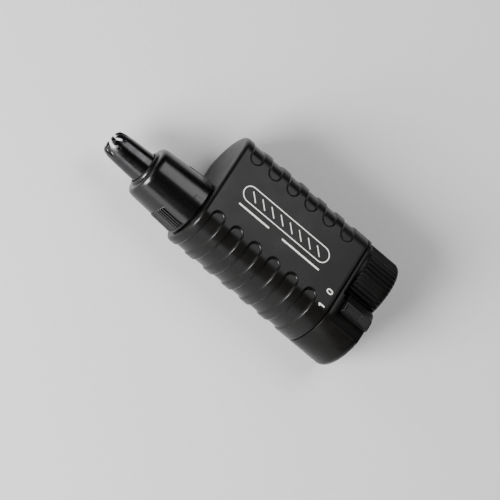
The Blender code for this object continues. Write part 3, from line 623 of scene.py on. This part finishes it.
def make_battery_cover():
    """The ribbed cover: a dished foot, ribs fading out at both ends, and a neck with a seal groove."""
    count = RIBS * RIB_SAMPLES
    rings = [circle(4.0, DIAL_FOOT + 0.12, DIAL_X, count), circle(7.2, DIAL_FOOT + 0.12, DIAL_X, count),
             circle(7.5, DIAL_FOOT + 0.02, DIAL_X, count), circle(8.0, DIAL_FOOT, DIAL_X, count)]
    for rise, inset in edge_steps(DIAL_FOOT_RADIUS, 10):
        depth = RIB_DEPTH * max(0.0, 1 - inset / DIAL_FOOT_RADIUS) ** 0.7
        rings.append(circle(ribbed(DIAL_RADIUS - inset, depth), DIAL_FOOT + rise, DIAL_X, count))
    for height in (4.0, 8.0, 11.5):
        rings.append(circle(ribbed(DIAL_RADIUS, RIB_DEPTH), height, DIAL_X, count))
    for height, depth in ((11.75, 0.36), (11.95, 0.18), (12.05, 0.05)):
        rings.append(circle(ribbed(DIAL_RADIUS - RIB_DEPTH + depth, depth), height, DIAL_X, count))
    collar = rounded([
        (12.46, 12.1, 0), (12.46, 13.3, 0.15), (9.2, 13.3, 0.1), (9.2, 13.95, 0.08), (8.65, 13.95, 0),
        (8.65, 15.25, 0), (9.2, 15.25, 0.08), (9.2, 17.2, 0), (9.2, 19.5, 0.25), (7.9, 19.5, 0.2),
        (7.9, 12.0, 0), (7.9, 1.6, 0.2), (4.0, 1.6, 0),
    ], joined=False)
    rings += [circle(r, h, DIAL_X, count) for r, h in collar]
    cover = skin("battery_cover_shell", rings)
    finish_piece(cover, "dial_black", "cover", replaces=("battery_cover",))


# ---------------------------------------------------------------- switch slide

KNOB_WIDTH = 3.8
KNOB_EDGE = 0.45
KNOB_CORNER = 1.5
PAD_RIM = 0.72
PAD_FOOT = 4.1
PAD_HEAD = 0.8
PAD_DEPTH = 0.30
RIDGE_PITCH = 0.72
RIDGE_HEIGHT = 0.07


def make_switch_slide():
    """The knob: a raised rim round a ridged pad, a smooth lower end and a skirt sloping to the right."""
    left = SLIDE_LOW.x / MM
    top = (SLIDE_HIGH.y - BASE_Y) / MM
    low = (SLIDE_LOW.y - BASE_Y) / MM
    front = (SLIDE_HIGH.z - MID_Z) / MM
    back = (SLIDE_LOW.z - MID_Z) / MM
    face_right = left + KNOB_WIDTH
    skirt_right = SLIDE_HIGH.x / MM
    edge = KNOB_EDGE
    corner = KNOB_CORNER
    rows = np.concatenate([np.linspace(low, low + 3.4, 20), np.arange(low + 3.5, top - 0.55, 0.07),
                           np.linspace(top - 0.5, top, 8)])
    rings = []
    for h in rows:
        drop = max(0.0, low + corner - h) / corner
        pull = corner * (1 - math.sqrt(max(0.0, 1 - drop * drop)))
        near_end = min(1.0, min(h - low, top - h) / edge)
        lift = edge * (1 - math.sqrt(max(0.0, 1 - (1 - near_end) ** 2)))
        face = front - lift
        right = face_right - 0.5 * pull
        skirt = skirt_right - pull
        ring = [(left, h, back), (left, h, (back + face - edge) / 2)]
        for k in range(6):
            a = math.pi / 2 * k / 5
            ring.append((left + edge * (1 - math.cos(a)), h, face - edge + edge * math.sin(a)))
        for x in np.linspace(left + edge + 0.05, right - 0.3, 22):
            ring.append((x, h, face - pad_depth(x, h, left, face_right, low, top)))
        ring += [(right - 0.12, h, face - 0.02), (right + 0.1, h, face - 0.12), (right + 0.3, h, face - 0.3)]
        for t in (0.3, 0.6, 0.92):
            across = right + 0.3 + (skirt - right - 0.3) * t
            ring.append((across, h, face - 0.3 + (back + 0.12 - face + 0.3) * t))
        ring += [(skirt, h, back + 0.05), (skirt - 0.05, h, back)]
        rings.append(ring)
    slide = skin("switch_knob", rings, 30.0)
    finish_piece(slide, "slide_grey", "switch", replaces=("switch_slide",))


def pad_depth(x, h, left, right, low, top):
    """The recessed finger pad on the slide's upper part, crossed by fine ridges."""
    inside = min(x - left - PAD_RIM, right - PAD_RIM - x, h - low - PAD_FOOT, top - PAD_HEAD - h)
    share = min(1.0, max(0.0, inside / 0.22))
    ridge = RIDGE_HEIGHT * (0.5 + 0.5 * math.cos(2 * math.pi * (h - low) / RIDGE_PITCH))
    return share * share * (3 - 2 * share) * (PAD_DEPTH - ridge)


# ---------------------------------------------------------------- nozzle and blades

SERRATIONS = 11
SERRATION_PITCH = math.radians(5.4)
SERRATION_DEPTH = 0.24
PAD_LIFT = 0.28
PAD_LOW = 69.0
PAD_HIGH = 78.15
MARK_ANGLE = math.radians(357.0)
MARK_TOP = 72.0
MARK_DEPTH = 0.10
NOZZLE_STEPS = 800
BLADE_WALL = 0.45
CROWN_TOP = 102.7
CROWN_SLOTS = 9
SLOT_DEPTH = 3.4
SLOT_HALF = 0.64
SLOT_LEAN = math.radians(18)


def nozzle_radius(height):
    """The nozzle's straight taper."""
    return 9.28 + 0.0595 * (86.2 - height)


def nozzle_ring(height):
    """The taper at a height, with a raised serrated grip on each side and an index mark in front."""
    def at(angle):
        r = np.full(len(angle), nozzle_radius(height))
        for centre in (math.pi / 2, 3 * math.pi / 2):
            place = (angle - centre) / SERRATION_PITCH
            inside = np.clip((SERRATIONS / 2 - np.abs(place)) / 0.2, 0, 1)
            arch = PAD_HIGH - 0.8 * (2 * place / SERRATIONS) ** 2
            fade = min(1.0, max(0.0, (height - PAD_LOW) / 0.5))
            share = inside * np.clip((arch - height) / 0.25, 0, 1) * fade
            wave = 0.5 + 0.5 * np.cos(2 * math.pi * (place + 0.5))
            r = r + share * (PAD_LIFT - SERRATION_DEPTH * (1 - wave ** 0.6))
        upright = (np.abs(angle - MARK_ANGLE) < 0.013) & (PAD_LOW < height < MARK_TOP)
        level = (np.abs(angle - MARK_ANGLE + 0.08) < 0.08) & (abs(height - MARK_TOP) < 0.1)
        return np.where(upright | level, r - MARK_DEPTH, r)
    return at


def make_nozzle():
    """The nozzle: its outside up to the neck round the blade tube, then down its stepped bore."""
    count = NOZZLE_STEPS
    heights = [68.72, 68.95, 69.05, 69.3, 69.6, 70.5, 71.8, 71.85, 71.95, 72.05, 72.15, 72.2, 74.0, 76.0]
    heights += list(np.arange(77.1, 78.3, 0.08)) + [78.8, 82.0]
    rings = [circle(10.15, 68.5, NOZZLE_X, count), circle(10.29, 68.58, NOZZLE_X, count)]
    rings += [circle(nozzle_ring(h), h, NOZZLE_X, count) for h in heights]
    upper = rounded([
        (9.40, 84.2, 0), (9.28, 86.2, 1.0), (8.95, 87.35, 0.5), (8.2, 87.95, 0.5),
        (6.75, 88.0, 0.12), (6.5, 88.6, 0.2), (6.05, 88.95, 0.25), (5.7, 88.75, 0.1), (5.65, 86.0, 0.05),
        (7.9, 86.0, 0), (8.0, 83.0, 0), (8.8, 77.0, 0), (8.8, 73.4, 0.05), (9.5, 73.2, 0), (9.5, 71.6, 0),
        (8.8, 71.4, 0.05), (8.8, 68.8, 0.1), (9.1, 68.5, 0.1),
    ], joined=False, steps=5)
    rings += [circle(r, h, NOZZLE_X, count) for r, h in upper]
    cone = skin("nozzle_shell", rings, 30.0, joined=True)
    finish_piece(cone, "gloss_black", "head", replaces=("head_cone",))


def slot_tool(index):
    """A leaning slot with a round foot, between two fingers of the crown."""
    angle = 2 * math.pi * (index + 0.25) / CROWN_SLOTS
    half = SLOT_HALF
    bottom = CROWN_TOP - SLOT_DEPTH + half
    points = [(half, 5.0), (-half, 5.0)]
    points += [(-half * math.cos(a), -half * math.sin(a)) for a in np.linspace(0.0, math.pi, 13)]
    rings = []
    for radius in (1.6, 7.0):
        ring = []
        for across, up in points:
            along = across * math.cos(SLOT_LEAN) - up * math.sin(SLOT_LEAN)
            h = bottom + across * math.sin(SLOT_LEAN) + up * math.cos(SLOT_LEAN)
            ring.append((NOZZLE_X + radius * math.sin(angle) + along * math.cos(angle), h,
                         radius * math.cos(angle) - along * math.sin(angle)))
        rings.append(ring)
    return skin("slot_tool", rings)


def make_blade_tube():
    """The fixed blade: a tapered tube on a flange, with leaning slots cut through its domed crown."""
    wall = BLADE_WALL
    profile = rounded([
        (7.4, 85.0, 0), (7.4, 85.7, 0), (5.35, 85.7, 0), (5.35, 88.8, 0), (5.28, 89.4, 0),
        (4.87, 97.5, 0.8), (4.66, 99.5, 0.8), (4.32, 101.3, 0.5), (4.05, 102.2, 0.35),
        (3.45, CROWN_TOP, 0.25), (2.7, 102.62, 0.1), (2.72, 102.25, 0.1), (3.2, 102.2, 0.1),
        (3.55, 101.8, 0.2), (3.87, 101.1, 0.2),
        (4.66 - wall, 99.4, 0.3), (4.87 - wall, 97.5, 0), (5.35 - wall, 88.8, 0), (5.35 - wall, 85.0, 0),
    ], steps=4)
    tube = lathe("blade_tube", profile, NOZZLE_X, 144)
    for index in range(CROWN_SLOTS):
        carve(tube, slot_tool(index))
    soften(tube, 0.06, 2, 45.0)
    finish_piece(tube, "blade_steel", "head", replaces=("outer_blade",))


# ---------------------------------------------------------------- front print

PRINT_ROOT = 0.1
SLANTS = 8
SLANT_PITCH = 3.95


def on_front(point, lift):
    """A printed point at (x, h), lifted off the body's front."""
    return (point.x, point.y, front_at(point.x) + lift)


def stroke(name, path, width, closed=False):
    """A flat printed line that follows the front of the body along a path of (x, h) points."""
    pts = [Vector(p) for p in path]
    count = len(pts)
    rows = []
    for i, here in enumerate(pts):
        before = pts[i - 1] if closed or i else here
        after = pts[(i + 1) % count] if closed or i + 1 < count else here
        way_in = (here - before).normalized() if before != here else (after - here).normalized()
        way_out = (after - here).normalized() if after != here else way_in
        tangent = (way_in + way_out).normalized()
        across = Vector((-tangent.y, tangent.x))
        reach = width / 2 / max(0.5, abs(across.dot(Vector((-way_in.y, way_in.x)))))
        left, right = here + across * reach, here - across * reach
        rows.append([on_front(left, PRINT_LIFT), on_front(right, PRINT_LIFT),
                     on_front(right, -PRINT_ROOT), on_front(left, -PRINT_ROOT)])
    return skin(name, rows, 30.0, joined=closed)


def oval(cx, cy, rx, ry, power=2.4, count=48):
    """A closed outline between an ellipse and a rectangle."""
    def squared(value):
        return math.copysign(abs(value) ** (2 / power), value)
    turns = [2 * math.pi * k / count for k in range(count)]
    return [(cx + rx * squared(math.cos(a)), cy + ry * squared(math.sin(a))) for a in turns]


def capsule(x_low, x_high, h_low, h_high, count=14):
    """A closed outline with half-round ends, longer along the trimmer."""
    r = (x_high - x_low) / 2
    mid = (x_low + x_high) / 2
    turns = np.linspace(0, math.pi, count)
    top = [(mid + r * math.cos(a), h_high - r + r * math.sin(a)) for a in turns]
    low = [(mid - r * math.cos(a), h_low + r - r * math.sin(a)) for a in turns]
    return top + low


def make_print():
    """The switch digits, and a plain line figure on the front."""
    pieces = [
        stroke("print_zero", oval(-7.35, 17.95, 0.68, 0.98), 0.46, closed=True),
        stroke("print_one", [(-12.95, 16.75), (-12.95, 19.1)], 0.50),
        stroke("print_one_flag", [(-13.6, 18.4), (-12.95, 18.95)], 0.36),
        stroke("print_frame", capsule(-1.5, 4.1, 24.2, 60.4), 0.34, closed=True),
        stroke("print_bar_low", [(-3.9, 25.0), (-3.9, 41.0)], 0.6),
        stroke("print_bar_high", [(-3.9, 46.6), (-3.9, 59.4)], 0.6),
    ]
    for index in range(SLANTS):
        low = 27.2 + SLANT_PITCH * index
        pieces.append(stroke(f"print_slant_{index}", [(-0.1, low), (2.7, low + 2.6)], 0.34))
    for piece in pieces:
        finish_piece(piece, "print_white", "trimmer_body")


# ---------------------------------------------------------------- carried-over nodes


def finish_frame_nodes():
    """A procedural finish and rounder edges for every CAD node that still shows."""
    slots = {entry["node"]: entry["material_slot"] for entry in frame["record"]["subparts"]}
    for name, obj in frame["nodes"].items():
        mesh = obj.data
        for attribute in [a for a in mesh.attributes if a.name == "custom_normal"]:
            mesh.attributes.remove(attribute)
        mesh.materials.clear()
        mesh.materials.append(LOOKS[slots[name]])
        mesh.shade_smooth()
        weld = obj.modifiers.new("weld", "WELD")
        weld.merge_threshold = 0.000001
        split = obj.modifiers.new("crisp", "EDGE_SPLIT")
        split.split_angle = math.radians(35)


# ---------------------------------------------------------------- stage

FLOOR_SIZE = 2.2
FLOOR_STEPS = 24
SKY_LOW = 0.02
SKY_HIGH = 0.22
SKY_PALE = 0.40
SKY_DARK = 0.02

CAMERA_YAW = 27.84
CAMERA_PITCH = 13.784
CAMERA_ROLL = -50.028
CAMERA_DISTANCE = 0.9
CAMERA_LENS = 199.3572
AIM_ACROSS = -0.00143
AIM_UP = 0.00992
SENSOR_WIDTH = 36.0


def make_floor():
    """A plain pale surface that the trimmer lies on."""
    places = [-FLOOR_SIZE / 2 + FLOOR_SIZE * i / FLOOR_STEPS for i in range(FLOOR_STEPS + 1)]
    verts = [(x, y, 0.0) for y in places for x in places]
    row = FLOOR_STEPS + 1
    corners = [j * row + i for j in range(FLOOR_STEPS) for i in range(FLOOR_STEPS)]
    faces = [(k, k + 1, k + row + 1, k + row) for k in corners]
    floor = mesh_object("studio_floor", verts, faces)
    look = Look("studio_paper", specular_ior_level=0.2)
    grain = look.noise(900.0, 3.0)
    look.colour(look.blend(look.spread(grain, 0.3, 0.7, 0.0, 1.0), (0.86, 0.86, 0.86), (0.90, 0.90, 0.90)))
    look.roughness(look.spread(grain, 0.3, 0.7, 0.85, 0.95))
    floor.data.materials.append(look.mat)


def area_light(name, place, width, height, power):
    """A soft box that faces the trimmer's middle."""
    target = Vector((0.0, 0.0, MID_Z))
    data = bpy.data.lights.new(name, "AREA")
    data.shape = "RECTANGLE"
    data.size = width
    data.size_y = height
    data.energy = power
    lamp = bpy.data.objects.new(name, data)
    bpy.context.scene.collection.objects.link(lamp)
    lamp.location = place
    lamp.rotation_euler = (Vector(place) - target).to_track_quat("Z", "Y").to_euler()


def about_axis(azimuth, distance, along):
    """A point at an azimuth round the trimmer's length: 0 is straight out of the front, 90 to its right."""
    a = math.radians(azimuth)
    return (distance * math.sin(a), along, MID_Z + distance * math.cos(a))


def make_sky():
    """A studio sky that is pale near the horizon and dark overhead."""
    sky = bpy.data.worlds.new("studio_air")
    sky.use_nodes = True
    tree = sky.node_tree
    air = tree.nodes["Background"]
    coords = tree.nodes.new("ShaderNodeTexCoord")
    split = tree.nodes.new("ShaderNodeSeparateXYZ")
    fade = tree.nodes.new("ShaderNodeMapRange")
    fade.interpolation_type = "SMOOTHSTEP"
    limits = {"From Min": SKY_LOW, "From Max": SKY_HIGH, "To Min": SKY_PALE, "To Max": SKY_DARK}
    for key, number in limits.items():
        fade.inputs[key].default_value = number
    tree.links.new(coords.outputs["Generated"], split.inputs["Vector"])
    tree.links.new(split.outputs["Z"], fade.inputs["Value"])
    tree.links.new(fade.outputs["Result"], air.inputs["Strength"])
    air.inputs["Color"].default_value = (0.97, 0.98, 1.0, 1.0)
    bpy.context.scene.world = sky


def make_lights():
    """A key from the tip's left, a low strip at the left, boxes over the front and one at the tip."""
    area_light("key", (-0.73, 0.45, 0.39), 0.40, 0.40, 22.0)
    area_light("left_strip", (-0.80, 0.0, 0.155), 0.40, 0.27, 1.1)
    area_light("front_box", about_axis(27, 0.7, -0.045), 0.33, 0.56, 2.35)
    area_light("front_low", about_axis(27, 0.7, -0.27), 0.12, 0.56, 0.14)
    area_light("tip_box", (-0.25, 0.65, 0.38), 0.55, 0.30, 1.6)
    make_sky()


def make_camera():
    """Looks at the front from the trimmer's left, a little from the tip's side."""
    yaw, pitch, roll = (math.radians(a) for a in (CAMERA_YAW, CAMERA_PITCH, CAMERA_ROLL))
    towards = Vector((-math.sin(yaw) * math.cos(pitch), math.sin(pitch), math.cos(yaw) * math.cos(pitch)))
    right = Vector((0, 1, 0)).cross(towards).normalized()
    up = towards.cross(right).normalized()
    turned_right = right * math.cos(roll) + up * math.sin(roll)
    turned_up = -right * math.sin(roll) + up * math.cos(roll)
    data = bpy.data.cameras.new("photo_view")
    data.sensor_width = SENSOR_WIDTH
    data.lens = CAMERA_LENS
    data.clip_start = 0.01
    camera = bpy.data.objects.new("photo_view", data)
    bpy.context.scene.collection.objects.link(camera)
    matrix = Matrix((turned_right, turned_up, towards)).transposed().to_4x4()
    aim = Vector((0, 0, MID_Z))
    matrix.translation = aim + towards * CAMERA_DISTANCE - turned_right * AIM_ACROSS - turned_up * AIM_UP
    camera.matrix_world = matrix
    bpy.context.scene.camera = camera


finish_frame_nodes()
make_upper_casing()
make_lower_casing()
make_battery_cover()
make_switch_slide()
make_nozzle()
make_blade_tube()
make_print()
make_floor()
make_lights()
make_camera()
